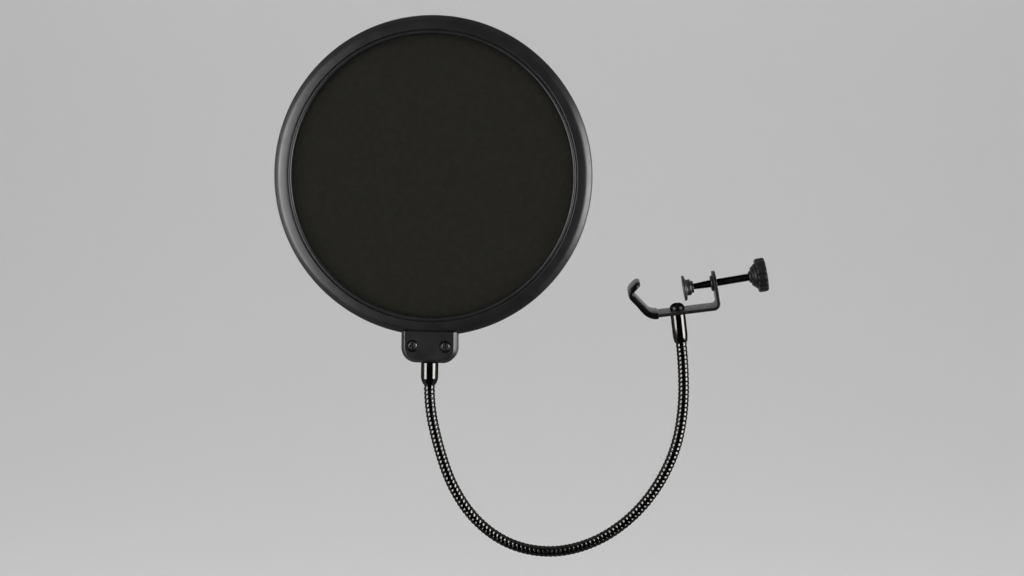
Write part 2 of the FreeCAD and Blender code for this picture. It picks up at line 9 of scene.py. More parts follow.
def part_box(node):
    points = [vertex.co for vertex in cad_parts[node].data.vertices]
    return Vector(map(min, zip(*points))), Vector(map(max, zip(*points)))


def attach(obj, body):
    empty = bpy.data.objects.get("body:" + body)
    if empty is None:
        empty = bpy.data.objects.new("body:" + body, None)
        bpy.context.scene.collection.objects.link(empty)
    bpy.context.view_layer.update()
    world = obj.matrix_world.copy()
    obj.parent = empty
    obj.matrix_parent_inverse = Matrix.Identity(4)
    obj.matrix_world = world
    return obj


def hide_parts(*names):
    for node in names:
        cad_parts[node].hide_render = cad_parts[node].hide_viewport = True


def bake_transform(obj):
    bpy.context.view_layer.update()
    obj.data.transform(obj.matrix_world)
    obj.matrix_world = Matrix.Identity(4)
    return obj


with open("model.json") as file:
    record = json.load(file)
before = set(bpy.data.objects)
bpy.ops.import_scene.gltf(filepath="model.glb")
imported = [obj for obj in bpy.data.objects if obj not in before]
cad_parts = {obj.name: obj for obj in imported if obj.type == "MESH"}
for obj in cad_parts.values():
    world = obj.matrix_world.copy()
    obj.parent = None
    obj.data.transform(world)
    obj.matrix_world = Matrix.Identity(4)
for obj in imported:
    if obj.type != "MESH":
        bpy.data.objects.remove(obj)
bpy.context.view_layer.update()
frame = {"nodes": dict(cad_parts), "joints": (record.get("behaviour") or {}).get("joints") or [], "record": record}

# The pop filter's visual model. Outlines are in millimetres in each piece's own frame, and a
# piece's matrix takes them to metres in the row frame: +Z up, -Y the side the user speaks to.
MM = 0.001

# gooseneck: how far it turns in each link, in degrees, and where the clamp leans
LINK_TURNS = (13.2, 6.6, 15.4, 21.5, 25.5, 23.9, 19.6, 16.2, 15.0, 15.7, 10.1, 5.5)
LEAN_JOINTS = (9, 10, 11)
LEAN_STEP = 2.2
NECK_LENGTH = 259.7
NECK_PLUG = 6.0
NECK_RADIUS = 2.75
LINK = NECK_LENGTH / len(LINK_TURNS)
COIL_PITCH = 2.25
COIL_DEPTH = 0.27
FIT_GAP = 0.05

# the hoop is tilted in its own plane and turned on the ferrule's stem, in degrees
HEAD_TILT = 1.05
HEAD_YAW = 5.0
HOOP_RADIUS = 80.0
SCREEN_RADIUS = 76.4
SCREEN_THICKNESS = 0.3
SCREEN_GAP = 0.01
SEAT_HEIGHT = 2.2
TAB_HALF_WIDTH = 14.2
TAB_TOP = 77.75
TAB_BOTTOM = 93.6
TAB_CORNER = 7.5
TAB_DEPTH = 4.7
TAB_BEVEL = 1.75

# the two small screws in the tab, and the ferrules, washer and nut
SCREW_X = 8.3
SCREW_Y = -85.1
HEAD_FERRULE_LENGTH = 11.2
CLAMP_FERRULE_LENGTH = 14.4
WASHER_THICKNESS = 0.6
NUT_HOLLOW = 2.3
STUD_RADIUS = 2.0

# the clamp's bar: its path runs from the upright's top, along the base, to the hook's tip
BAR_WIDTH = 14.0
BAR_THICKNESS = 1.6
BASE_Z = -12.8
STUD_X = 7.9
UPRIGHT_X = 28.4
UPRIGHT_TOP = 5.2
UPRIGHT_LEAN = math.radians(2.8)
BAR_PATH = (
    (UPRIGHT_X - (UPRIGHT_TOP - BASE_Z) * math.tan(UPRIGHT_LEAN), UPRIGHT_TOP),
    (UPRIGHT_X, BASE_Z),
    (-6.1, BASE_Z),
    (-15.4, 0.0),
    (-9.8, 4.4),
)
BAR_BENDS = (2.6, 7.0, 3.0)
SLEEVE_START = -1.8
SLEEVE_OVERHANG = 0.7

# the clamping screw, measured along it from the pad's face
BOSS_FACE = 15.14
THREAD_RADIUS = 1.95
THREAD_PITCH = 0.7
THREAD_DEPTH = 0.36
THREAD_START = 6.1
THREAD_END = 36.9
KNOB_LOBES = 12
LOBE_START = 6.5
LOBE_DEPTH = 0.62

# the stage, in metres
FLOOR_Z = -0.50
FLOOR_REACH = 12.0
CURVE_START = 1.6
CURVE_RADIUS = 0.8
BACKDROP_TOP = 3.5


# ---------------------------------------------------------------- frames

def joint(name):
    return next(j for j in frame["joints"] if j["name"] == name)


def mount(name):
    return next(m for m in frame["record"]["mounts"] if m["name"] == name)


def axes_matrix(x, y, z, origin):
    matrix = Matrix((x, y, z)).transposed().to_4x4()
    matrix.translation = origin
    return matrix


def shift(x=0.0, y=0.0, z=0.0):
    """A move in millimetres inside a frame that works in metres."""
    return Matrix.Translation(Vector((x, y, z)) * MM)


def around_axis(radius, angle, height):
    """A point at an angle round Z, in millimetres, as a vector in metres."""
    return Vector((radius * math.cos(angle), radius * math.sin(angle), height)) * MM


def clamp_matrix():
    """The clamp's own frame: X along its base, Y across the bar, origin in the jaw's middle."""
    up = Vector(joint("clamp_swivel")["axis"]).normalized()
    across = Vector(mount("stand_grip")["axis"]).normalized()
    return axes_matrix(across.cross(up), across, up, Vector((0, 0, 0)))


def screw_matrix(across):
    """The clamping screw's frame: Z runs from the pad's face out to the knob."""
    out = -Vector(joint("screw_turn")["axis"]).normalized()
    return axes_matrix(across.cross(out), across, out, Vector(joint("screw_turn")["pos_m"]))


def hoop_middle():
    """Half-way between the two screens, which lie the same way off the hoop's middle."""
    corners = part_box("front_mesh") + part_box("rear_mesh")
    return (corners[0] + corners[1] + corners[2] + corners[3]) / 4


CLAMP = clamp_matrix()
SCREW = screw_matrix(CLAMP.col[1].xyz)
STUD_DROP = BAR_THICKNESS / 2 + FIT_GAP + WASHER_THICKNESS + CLAMP_FERRULE_LENGTH
FERRULE_MOUTH = CLAMP @ shift(STUD_X, 0, BASE_Z - STUD_DROP)
NUT_BASE = CLAMP_FERRULE_LENGTH + WASHER_THICKNESS + BAR_THICKNESS + 2 * FIT_GAP

STEM = Matrix.Translation(hoop_middle()) @ Matrix.Rotation(math.radians(HEAD_TILT), 4, "Y")
HEAD_FERRULE = STEM @ shift(z=-TAB_BOTTOM)
FACING = Matrix.Rotation(math.radians(-HEAD_YAW), 4, "Z") @ Matrix.Rotation(math.radians(90), 4, "X")
HOOP_FRONT = STEM @ FACING
HOOP_REAR = HOOP_FRONT @ Matrix.Rotation(math.radians(180), 4, "Y")


def arc_step(length, degrees):
    """Along part of a link: down -Z for the given length while turning towards +X."""
    radius = length / math.radians(degrees) * MM
    centre = Matrix.Translation((radius, 0, 0))
    return centre @ Matrix.Rotation(-math.radians(degrees), 4, "Y") @ centre.inverted()


def neck_starts():
    """The frames at the head end of each link, and the last one at the clamp ferrule's mouth."""
    starts = [HEAD_FERRULE @ shift(z=-HEAD_FERRULE_LENGTH)]
    lean = Matrix.Rotation(-math.radians(LEAN_STEP), 4, "X")
    for i, degrees in enumerate(LINK_TURNS, start=1):
        end = starts[-1] @ arc_step(LINK, degrees)
        starts.append(end @ lean if i in LEAN_JOINTS else end)
    return starts


NECK_STARTS = neck_starts()


def neck_matrix(s):
    """The frame on the gooseneck's middle line, s mm from the head ferrule's mouth."""
    if s <= 0:
        return NECK_STARTS[0] @ shift(z=-s)
    if s >= NECK_LENGTH:
        return NECK_STARTS[-1] @ shift(z=NECK_LENGTH - s)
    index = int(s // LINK)
    rest = s - index * LINK
    if rest < 1e-6:
        return NECK_STARTS[index]
    return NECK_STARTS[index] @ arc_step(rest, LINK_TURNS[index] * rest / LINK)


# ---------------------------------------------------------------- mesh helpers

SHARP_ANGLE = math.radians(38)
WELD = 1e-7


def finish_mesh(name, bm):
    """Close up a bmesh into an object with smooth faces and sharp real edges."""
    bmesh.ops.remove_doubles(bm, verts=bm.verts, dist=WELD)
    bmesh.ops.recalc_face_normals(bm, faces=bm.faces)
    for face in bm.faces:
        face.smooth = True
    for edge in bm.edges:
        edge.smooth = edge.calc_face_angle(0) < SHARP_ANGLE
    mesh = bpy.data.meshes.new(name)
    bm.to_mesh(mesh)
    bm.free()
    piece = bpy.data.objects.new(name, mesh)
    bpy.context.scene.collection.objects.link(piece)
    return piece


def softened(corners, steps=4):
    """An outline of (radius, height, bend) corners. A bend over 0 is drawn as a short curve."""
    points = []
    for i, (x, y, bend) in enumerate(corners):
        here = Vector((x, y))
        if bend <= 0:
            points.append(here)
            continue
        before = Vector(corners[i - 1][:2])
        after = Vector(corners[(i + 1) % len(corners)][:2])
        start = here + (before - here).normalized() * min(bend, 0.48 * (before - here).length)
        end = here + (after - here).normalized() * min(bend, 0.48 * (after - here).length)
        for k in range(steps + 1):
            t = k / steps
            points.append(start * (1 - t) ** 2 + here * (2 * t * (1 - t)) + end * t ** 2)
    return points


def lathe_mesh(points, matrix, around=96, shape=None, loop=False):
    """Turn an outline about Z. Points on the axis close the surface; a loop joins its last point
    to its first. shape(angle, radius, height) can change a point's radius."""
    bm = bmesh.new()
    rings = []
    for radius, height in points:
        if radius < 1e-6:
            rings.append([bm.verts.new(matrix @ (Vector((0, 0, height)) * MM))])
            continue
        ring = []
        for k in range(around):
            angle = 2 * math.pi * k / around
            r = shape(angle, radius, height) if shape else radius
            ring.append(bm.verts.new(matrix @ around_axis(r, angle, height)))
        rings.append(ring)
    pairs = list(zip(rings, rings[1:]))
    if loop:
        pairs.append((rings[-1], rings[0]))
    for low, high in pairs:
        for k in range(around):
            n = (k + 1) % around
            if len(low) == 1 and len(high) == 1:
                continue
            if len(low) == 1:
                bm.faces.new((low[0], high[n], high[k]))
            elif len(high) == 1:
                bm.faces.new((low[k], low[n], high[0]))
            else:
                bm.faces.new((low[k], low[n], high[n], high[k]))
    return bm


def lathe(name, corners, matrix, around=96, shape=None, loop=False):
    """A turned piece from the corners of its outline."""
    return finish_mesh(name, lathe_mesh(softened(corners), matrix, around, shape, loop))


def skin_mesh(rings):
    """A closed skin over rings of points, with a flat cap on each end ring."""
    bm = bmesh.new()
    rows = [[bm.verts.new(point) for point in ring] for ring in rings]
    count = len(rows[0])
    for low, high in zip(rows, rows[1:]):
        for k in range(count):
            n = (k + 1) % count
            bm.faces.new((low[k], low[n], high[n], high[k]))
    bm.faces.new(rows[0])
    bm.faces.new(rows[-1])
    return bm


def combine(base, other, operation):
    """Apply a boolean between two finished objects; the other one is used up."""
    modifier = base.modifiers.new("combine", "BOOLEAN")
    modifier.operation = operation
    modifier.solver = "EXACT"
    modifier.object = other
    depsgraph = bpy.context.evaluated_depsgraph_get()
    joined = bpy.data.meshes.new_from_object(base.evaluated_get(depsgraph))
    base.modifiers.clear()
    base.data = joined
    bpy.data.objects.remove(other)
    bm = bmesh.new()
    bm.from_mesh(joined)
    bmesh.ops.remove_doubles(bm, verts=bm.verts, dist=WELD)
    for edge in bm.edges:
        edge.smooth = edge.calc_face_angle(0) < SHARP_ANGLE
    for face in bm.faces:
        face.smooth = True
    bm.to_mesh(joined)
    bm.free()
    return base


def dress(piece, body, slot, material, *nodes):
    """Give a rigid piece its material and body, and hide the CAD nodes it stands for."""
    piece.data.materials.clear()
    piece.data.materials.append(material)
    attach(piece, body)
    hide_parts(*nodes)
    return piece


# ---------------------------------------------------------------- materials

class Finish:
    """A procedural surface: one shader, with noise for its roughness, colour and relief."""

    def __init__(self, name, colour, roughness, metallic=0.0):
        self.material = bpy.data.materials.new(name)
        self.material.use_nodes = True
        self.tree = self.material.node_tree
        self.shader = self.tree.nodes["Principled BSDF"]
        self.colour = colour
        self.roughness = roughness
        self.shader.inputs["Base Color"].default_value = (*colour, 1)
        self.shader.inputs["Roughness"].default_value = roughness
        self.shader.inputs["Metallic"].default_value = metallic
        self.place = self.tree.nodes.new("ShaderNodeTexCoord").outputs["Object"]
        self.relief = None

    def link(self, output, target):
        self.tree.links.new(output, target)

    def noise(self, size_mm, detail=4.0):
        node = self.tree.nodes.new("ShaderNodeTexNoise")
        node.inputs["Scale"].default_value = 1 / (size_mm * MM)
        node.inputs["Detail"].default_value = detail
        self.link(self.place, node.inputs["Vector"])
        return node.outputs["Fac"]

    def ranged(self, value, low, high):
        """Stretch the middle of a noise's values over low to high."""
        node = self.tree.nodes.new("ShaderNodeMapRange")
        node.inputs["From Min"].default_value = 0.3
        node.inputs["From Max"].default_value = 0.7
        node.inputs["To Min"].default_value = low
        node.inputs["To Max"].default_value = high
        self.link(value, node.inputs["Value"])
        return node.outputs["Result"]

    def darken_edges(self):
        """Keep glancing reflections dark, as blackened metal does."""
        self.shader.inputs["Specular Tint"].default_value = (0.15, 0.15, 0.15, 1)

    def vary_roughness(self, value, spread):
        self.link(self.ranged(value, self.roughness - spread, self.roughness + spread),
                  self.shader.inputs["Roughness"])

    def vary_colour(self, value, other):
        mix = self.tree.nodes.new("ShaderNodeMix")
        mix.data_type = "RGBA"
        mix.inputs["A"].default_value = (*self.colour, 1)
        mix.inputs["B"].default_value = (*other, 1)
        self.link(self.ranged(value, 0.0, 1.0), mix.inputs["Factor"])
        self.link(mix.outputs["Result"], self.shader.inputs["Base Color"])

    def emboss(self, value, height_mm, strength=1.0):
        """Add a layer of relief on top of the earlier ones."""
        bump = self.tree.nodes.new("ShaderNodeBump")
        bump.inputs["Distance"].default_value = height_mm * MM
        bump.inputs["Strength"].default_value = strength
        self.link(value, bump.inputs["Height"])
        if self.relief:
            self.link(self.relief, bump.inputs["Normal"])
        self.relief = bump.outputs["Normal"]
        self.link(self.relief, self.shader.inputs["Normal"])

    def bands(self, direction, size_mm):
        """Parallel waves that repeat every 2 pi times size_mm: the texture multiplies its scale by 20."""
        node = self.tree.nodes.new("ShaderNodeTexWave")
        node.bands_direction = direction
        node.inputs["Scale"].default_value = 1 / (size_mm * MM) / 20
        node.inputs["Distortion"].default_value = 0.4
        node.inputs["Detail"].default_value = 1.0
        self.link(self.place, node.inputs["Vector"])
        return node.outputs["Fac"]

    def multiply(self, first, second):
        node = self.tree.nodes.new("ShaderNodeMath")
        node.operation = "MULTIPLY"
        self.link(first, node.inputs[0])
        self.link(second, node.inputs[1])
        return node.outputs["Value"]


def shell_plastic():
    """Satin moulded plastic with a fine spark-eroded grain."""
    finish = Finish("shell_plastic", (0.009, 0.009, 0.0094), 0.36)
    finish.shader.inputs["Specular IOR Level"].default_value = 0.4
    finish.vary_roughness(finish.noise(6.0), 0.04)
    finish.vary_colour(finish.noise(22.0, 2.0), (0.012, 0.012, 0.0125))
    finish.emboss(finish.noise(0.35, 2.0), 0.012, 0.5)
    return finish.material


def nylon_screen():
    """Black nylon screen: the relief of a crossed weave, slightly uneven in tone."""
    finish = Finish("nylon_screen", (0.020, 0.0192, 0.015), 0.85)
    finish.vary_colour(finish.noise(3.0, 6.0), (0.025, 0.024, 0.019))
    weave = finish.multiply(finish.bands("X", 0.42), finish.bands("Z", 0.42))
    finish.emboss(weave, 0.12, 0.7)
    finish.emboss(finish.noise(1.3, 3.0), 0.05, 0.5)
    finish.vary_roughness(finish.noise(0.9), 0.1)
    finish.shader.inputs["Specular IOR Level"].default_value = 0.06
    return finish.material


def inner_plastic():
    """Plain black plastic of the hidden spacer."""
    finish = Finish("inner_plastic", (0.03, 0.03, 0.031), 0.5)
    finish.vary_roughness(finish.noise(4.0), 0.05)
    finish.emboss(finish.noise(0.5, 2.0), 0.01, 0.4)
    return finish.material


def black_metal():
    """Gloss black plated metal of the ferrules."""
    finish = Finish("black_metal", (0.046, 0.045, 0.043), 0.12, 1.0)
    finish.darken_edges()
    finish.vary_roughness(finish.noise(5.0), 0.03)
    finish.vary_colour(finish.noise(9.0, 2.0), (0.055, 0.053, 0.051))
    finish.emboss(finish.noise(1.5, 2.0), 0.004, 0.4)
    return finish.material


def nut_metal():
    """The dome nut and its washer: the ferrules' metal, duller."""
    finish = Finish("nut_metal", (0.016, 0.0155, 0.015), 0.34, 1.0)
    finish.darken_edges()
    finish.vary_roughness(finish.noise(2.0), 0.05)
    finish.vary_colour(finish.noise(3.0, 3.0), (0.024, 0.023, 0.022))
    finish.emboss(finish.noise(0.8, 2.0), 0.006, 0.4)
    return finish.material


def neck_metal():
    """The gooseneck's wound wire, the same plating with a little more wear."""
    finish = Finish("neck_metal", (0.042, 0.041, 0.039), 0.17, 1.0)
    finish.darken_edges()
    finish.vary_roughness(finish.noise(2.0), 0.05)
    finish.vary_colour(finish.noise(7.0, 3.0), (0.055, 0.052, 0.05))
    finish.emboss(finish.noise(0.6, 2.0), 0.006, 0.4)
    return finish.material


def clamp_metal():
    """Satin black lacquer on the bent bar."""
    finish = Finish("clamp_metal", (0.010, 0.010, 0.0105), 0.34)
    finish.shader.inputs["Specular IOR Level"].default_value = 0.35
    finish.vary_roughness(finish.noise(3.0), 0.06)
    finish.vary_colour(finish.noise(8.0, 3.0), (0.014, 0.014, 0.0145))
    finish.emboss(finish.noise(0.8, 3.0), 0.012, 0.5)
    return finish.material


def sleeve_vinyl():
    """Soft black vinyl pulled over the hook, with faint dimples."""
    finish = Finish("sleeve_vinyl", (0.006, 0.006, 0.0064), 0.20)
    finish.shader.inputs["Specular IOR Level"].default_value = 0.12
    finish.vary_roughness(finish.noise(3.5), 0.04)
    finish.emboss(finish.noise(2.4, 2.0), 0.05, 0.5)
    finish.emboss(finish.noise(0.4, 2.0), 0.006, 0.4)
    return finish.material


def thread_steel():
    """Blackened steel of the clamping screw, with an oily unevenness."""
    finish = Finish("thread_steel", (0.006, 0.0058, 0.0055), 0.34, 1.0)
    finish.darken_edges()
    finish.vary_roughness(finish.noise(1.2), 0.08)
    finish.vary_colour(finish.noise(2.5, 4.0), (0.013, 0.0125, 0.012))
    return finish.material


def pad_metal():
    """Dull grey metal of the pressure pad, blotched by use."""
    finish = Finish("pad_metal", (0.060, 0.060, 0.058), 0.44, 1.0)
    finish.vary_roughness(finish.noise(1.0, 5.0), 0.1)
    finish.vary_colour(finish.noise(3.0, 5.0), (0.095, 0.093, 0.09))
    finish.emboss(finish.noise(0.5, 3.0), 0.01, 0.4)
    return finish.material


def screw_steel():
    """Zinc-plated steel of the two small screws."""
    finish = Finish("screw_steel", (0.20, 0.197, 0.19), 0.30, 1.0)
    finish.vary_roughness(finish.noise(0.8), 0.08)
    finish.vary_colour(finish.noise(1.6, 4.0), (0.10, 0.098, 0.094))
    return finish.material


def knob_plastic():
    """Dark grey moulded plastic of the knob, finely textured."""
    finish = Finish("knob_plastic", (0.011, 0.011, 0.011), 0.42)
    finish.shader.inputs["Specular IOR Level"].default_value = 0.14
    finish.vary_roughness(finish.noise(2.0), 0.05)
    finish.vary_colour(finish.noise(4.0, 3.0), (0.016, 0.016, 0.0157))
    finish.emboss(finish.noise(0.3, 2.0), 0.015, 0.5)
    return finish.material


# ---------------------------------------------------------------- hoop and tab

def shell_outline():
    """Half of the hoop's section, from the parting line round the outside to the screen's seat."""
    return [
        (77.6, 0.0, 0), (79.9, 0.0, 0), (HOOP_RADIUS, 0.12, 0), (HOOP_RADIUS, 2.8, 0.6),
        (77.2, 4.55, 0.9), (73.0, 5.4, 0.3), (72.62, 4.8, 0.12), (72.25, 4.8, 0.12),
        (72.1, 5.6, 0.4), (71.05, 5.6, 0.5), (70.5, 4.6, 0.5), (70.5, SEAT_HEIGHT, 0),
        (77.6, SEAT_HEIGHT, 0),
    ]


def tab_ring(z, inset):
    """The tab's outline at one height, drawn in by the inset: square top, rounded lower corners."""
    half, corner, steps = TAB_HALF_WIDTH, TAB_CORNER, 10
    points = [(half - inset, -TAB_TOP), (-(half - inset), -TAB_TOP)]
    for side, first in ((-1, 180), (1, 270)):
        centre = (side * (half - corner), -(TAB_BOTTOM - corner))
        for k in range(steps + 1):
            angle = math.radians(first + 90 * k / steps)
            points.append((centre[0] + (corner - inset) * math.cos(angle),
                           centre[1] + (corner - inset) * math.sin(angle)))
    return [Vector((x, y, z)) for x, y in points]


def tab_solid(name, matrix):
    """Half of the tab, with a bevel round its outer face."""
    edge = softened([
        (0.06, 0, 0), (0, 0.08, 0), (0, TAB_DEPTH - TAB_BEVEL, 0.4), (TAB_BEVEL, TAB_DEPTH, 0.4),
        (TAB_BEVEL + 0.6, TAB_DEPTH, 0),
    ])
    rings = [tab_ring(height, inset) for inset, height in edge]
    bm = skin_mesh([[matrix @ (p * MM) for p in ring] for ring in rings])
    return finish_mesh(name, bm)


def hoop_shell(name, matrix, screws):
    """One half of the hoop's shell, joined to its half of the tab."""
    shell = lathe(name, shell_outline(), matrix, around=288, loop=True)
    tab = tab_solid(name + "_tab", matrix)
    if screws:
        for side in (-1, 1):
            hole = [(0, 2.6, 0), (3.05, 2.6, 0), (3.05, 4.45, 0), (3.4, 5.1, 0), (0, 5.1, 0)]
            tool = lathe(name + "_hole", hole, matrix @ shift(side * SCREW_X, SCREW_Y), around=48)
            tab = combine(tab, tool, "DIFFERENCE")
    return combine(shell, tab, "UNION")


def screen_disc(name, matrix):
    """A taut nylon disc, cut round and held at its edge between the shell and the spacer."""
    top = SEAT_HEIGHT - SCREEN_GAP
    low = SEAT_HEIGHT - SCREEN_THICKNESS + SCREEN_GAP
    radii = (0, 12, 24, 36, 48, 60, 68, SCREEN_RADIUS)
    outline = [(r, top, 0) for r in radii] + [(r, low, 0) for r in reversed(radii)]
    disc = lathe(name, outline, matrix, around=192)
    return disc


def build_hoop():
    plastic = shell_plastic()
    nylon = nylon_screen()
    front = hoop_shell("front_shell", HOOP_FRONT, True)
    dress(front, "head", "shell_plastic", plastic, "front_ring")
    rear = hoop_shell("rear_shell", HOOP_REAR, False)
    dress(rear, "head", "shell_plastic", plastic, "rear_ring")
    dress(screen_disc("front_screen", HOOP_FRONT), "head", "nylon_screen", nylon, "front_mesh")
    dress(screen_disc("rear_screen", HOOP_REAR), "head", "nylon_screen", nylon, "rear_mesh")
    for node, material in (("mesh_spacer", inner_plastic()), ("neck_screws", screw_steel())):
        for material_slot in frame["nodes"][node].material_slots:
            material_slot.material = material


# ---------------------------------------------------------------- gooseneck

def coil_radius(s, angle):
    """The wound wire's surface: low rounded turns that meet in a sharp groove."""
    turn = (s / COIL_PITCH + angle / (2 * math.pi)) % 1.0
    return NECK_RADIUS - COIL_DEPTH * (2 * turn - 1) ** 2


def coil_piece(name, start, end, steps_per_turn=16, around=40):
    """A stretch of the gooseneck, from start to end along its middle line."""
    count = round((end - start) / COIL_PITCH * steps_per_turn)
    rings = []
    for i in range(count + 1):
        s = start + (end - start) * i / count
        matrix = neck_matrix(s)
        ring = []
        for k in range(around):
            angle = 2 * math.pi * k / around
            ring.append(matrix @ around_axis(coil_radius(s, angle), angle, 0))
        rings.append(ring)
    return finish_mesh(name, skin_mesh(rings))


def build_gooseneck():
    """One piece across each joint, from the middle of a link to the middle of the next."""
    metal = neck_metal()
    last = len(LINK_TURNS)
    for index in range(1, last):
        start = (index - 0.5) * LINK
        end = (index + 0.5) * LINK
        piece = coil_piece("neck_coil_%02d" % index, start, end)
        piece.data.materials.append(metal)
        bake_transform(piece)
        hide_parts("neck_%02d" % index, "neck_%02d" % (index + 1))
    head_end = coil_piece("neck_coil_head", -NECK_PLUG + 0.2, 0.5 * LINK)
    dress(head_end, "head", "neck_metal", metal, "neck_01")
    clamp_end = coil_piece("neck_coil_clamp", (last - 0.5) * LINK, NECK_LENGTH + NECK_PLUG - 0.2)
    dress(clamp_end, "arm_base", "neck_metal", metal, "neck_%02d" % last)


def build_ferrules():
    """The head's ferrule with its stem and collar, and the clamp's with its stud."""
    metal = black_metal()
    head = lathe("head_sleeve", [
        (0, 8.5, 0), (3.4, 8.5, 0), (3.4, 6.2, 0), (2.5, 6.2, 0), (2.5, 0, 0), (4.35, 0, 0.2),
        (4.35, -8.4, 1.2), (3.25, -11.05, 0.3), (3.05, -HEAD_FERRULE_LENGTH, 0.1),
        (2.8, -11.1, 0), (2.8, -4.8, 0), (0, -4.8, 0),
    ], HEAD_FERRULE)
    dress(head, "head", "black_metal", metal, "head_ferrule")
    top = CLAMP_FERRULE_LENGTH
    stud_end = NUT_BASE + 2.0
    clamp = lathe("clamp_sleeve", [
        (0, 6.4, 0), (2.8, 6.4, 0), (2.8, 0.1, 0), (3.0, 0, 0.1), (3.25, 0.1, 0.3), (3.7, 2.8, 1.2),
        (3.7, top, 0.2), (STUD_RADIUS, top, 0), (STUD_RADIUS, stud_end, 0), (0, stud_end, 0),
    ], FERRULE_MOUTH)
    dress(clamp, "arm_base", "black_metal", metal, "clamp_ferrule")


def build_stud_nut():
    """The washer under the bar and the dome nut on top of it, both on the stud."""
    dull = nut_metal()
    hole = STUD_RADIUS + 0.06
    washer = lathe("clamp_washer", [
        (hole, 0, 0), (3.5, 0, 0.12), (3.5, WASHER_THICKNESS, 0.12), (hole, WASHER_THICKNESS, 0),
    ], FERRULE_MOUTH @ shift(z=CLAMP_FERRULE_LENGTH), loop=True)
    dress(washer, "arm_base", "black_metal", dull, "stud_washer")
    nut = lathe("dome_nut", [
        (hole, 0, 0), (3.6, 0, 0.15), (3.6, 1.2, 0.5), (3.15, 2.25, 0.8), (2.1, 3.05, 0.9), (0, 3.3, 0),
        (0, NUT_HOLLOW, 0), (hole, NUT_HOLLOW, 0), (hole, 0, 0),
    ], FERRULE_MOUTH @ shift(z=NUT_BASE))
    dress(nut, "arm_base", "black_metal", dull, "stud_nut")


# ---------------------------------------------------------------- clamp

def bent_path(points, bends, spacing=0.5, arc_steps=10):
    """Points along a bent line, each with its direction: straight runs and round bends."""
    corners = [Vector(p) for p in points]
    places = []
    start = corners[0]
    for i in range(1, len(corners) - 1):
        back = (corners[i - 1] - corners[i]).normalized()
        ahead = (corners[i + 1] - corners[i]).normalized()
        half = back.angle(ahead) / 2
        reach = bends[i - 1] / math.tan(half)
        run_end = corners[i] + back * reach
        places += straight_run(start, run_end, spacing)
        centre = corners[i] + (back + ahead).normalized() * (bends[i - 1] / math.sin(half))
        first = run_end - centre
        last = corners[i] + ahead * reach - centre
        sweep = first.angle_signed(last)
        for k in range(arc_steps):
            turned = first.copy()
            turned.rotate(Matrix.Rotation(-sweep * k / arc_steps, 2))
            tangent = -back.copy()
            tangent.rotate(Matrix.Rotation(-sweep * k / arc_steps, 2))
            places.append((centre + turned, tangent))
        start = corners[i] + ahead * reach
    places += straight_run(start, corners[-1], spacing)
    places.append((corners[-1], (corners[-1] - start).normalized()))
    return places


def straight_run(start, end, spacing):
    """Evenly spaced places from start up to, but not at, the end."""
    count = max(1, round((end - start).length / spacing))
    direction = (end - start).normalized()
    return [(start.lerp(end, k / count), direction) for k in range(count)]


def strip_section(half_width, half_thickness, edge, steps=4):
    """The corners of a flat strip's cross-section, with rounded long edges."""
    points = []
    for across, through, first in ((1, 1, 0), (-1, 1, 90), (-1, -1, 180), (1, -1, 270)):
        for k in range(steps + 1):
            angle = math.radians(first + 90 * k / steps)
            points.append((across * (half_width - edge) + edge * math.cos(angle),
                           through * (half_thickness - edge) + edge * math.sin(angle)))
    return points


def end_share(distance, radius):
    """How far a rounded end draws the strip's edge in, this far from the end."""
    if distance >= radius:
        return 0.0
    return radius - math.sqrt(max(0.0, radius ** 2 - (radius - distance) ** 2))


def strip(name, places, half_width, half_thickness, edge, start_round, end_round, swell=None):
    """A flat strip along a bent path in the clamp's XZ plane, with its ends rounded.

    swell(distance, length) can add to half of its thickness."""
    lengths = [0.0]
    for (a, _), (b, _) in zip(places, places[1:]):
        lengths.append(lengths[-1] + (b - a).length)
    rings = []
    for (point, tangent), s in zip(places, lengths):
        narrow = end_share(s, start_round) + end_share(lengths[-1] - s, end_round)
        normal = Vector((-tangent.y, tangent.x))
        thick = half_thickness + (swell(s, lengths[-1]) if swell else 0.0)
        width = max(half_width - narrow, edge * 1.05)
        ring = []
        for across, through in strip_section(width, thick, min(edge, thick * 0.98)):
            flat = point + normal * through
            ring.append(CLAMP @ (Vector((flat.x, across, flat.y)) * MM))
        rings.append(ring)
    return finish_mesh(name, skin_mesh(rings))


def build_bar():
    places = bent_path(BAR_PATH, BAR_BENDS)
    bar = strip("clamp_bar", places, BAR_WIDTH / 2, BAR_THICKNESS / 2, edge=0.3,
                start_round=6.2, end_round=3.0)
    dress(bar, "clamp", "clamp_metal", clamp_metal(), "clamp_frame")


def sleeve_wall(s, length):
    """The sleeve's wall: thicker at its mouth, thinner where it's stretched over the hook's tip."""
    mouth = 0.45 * max(0.0, 1 - s / 1.0) ** 2
    tip = 1.2 * max(0.0, 1 - (length - s) / 1.5) ** 2
    return 0.86 - 0.38 * s / length - mouth - tip + 0.04 * math.sin(s * 0.9)


def build_sleeve():
    """The soft sleeve over the hook, closed over the bar's tip."""
    tip = Vector(BAR_PATH[-1])
    direction = (tip - Vector(BAR_PATH[-2])).normalized()
    points = [(SLEEVE_START, BASE_Z), BAR_PATH[2], BAR_PATH[3], tuple(tip + direction * SLEEVE_OVERHANG)]
    places = bent_path(points, BAR_BENDS[1:], spacing=0.3, arc_steps=14)
    sleeve = strip("hook_grip", places, BAR_WIDTH / 2 + SLEEVE_OVERHANG, BAR_THICKNESS / 2, edge=1.15,
                   start_round=0.6, end_round=3.6, swell=sleeve_wall)
    dress(sleeve, "clamp", "sleeve_vinyl", sleeve_vinyl(), "hook_sleeve")


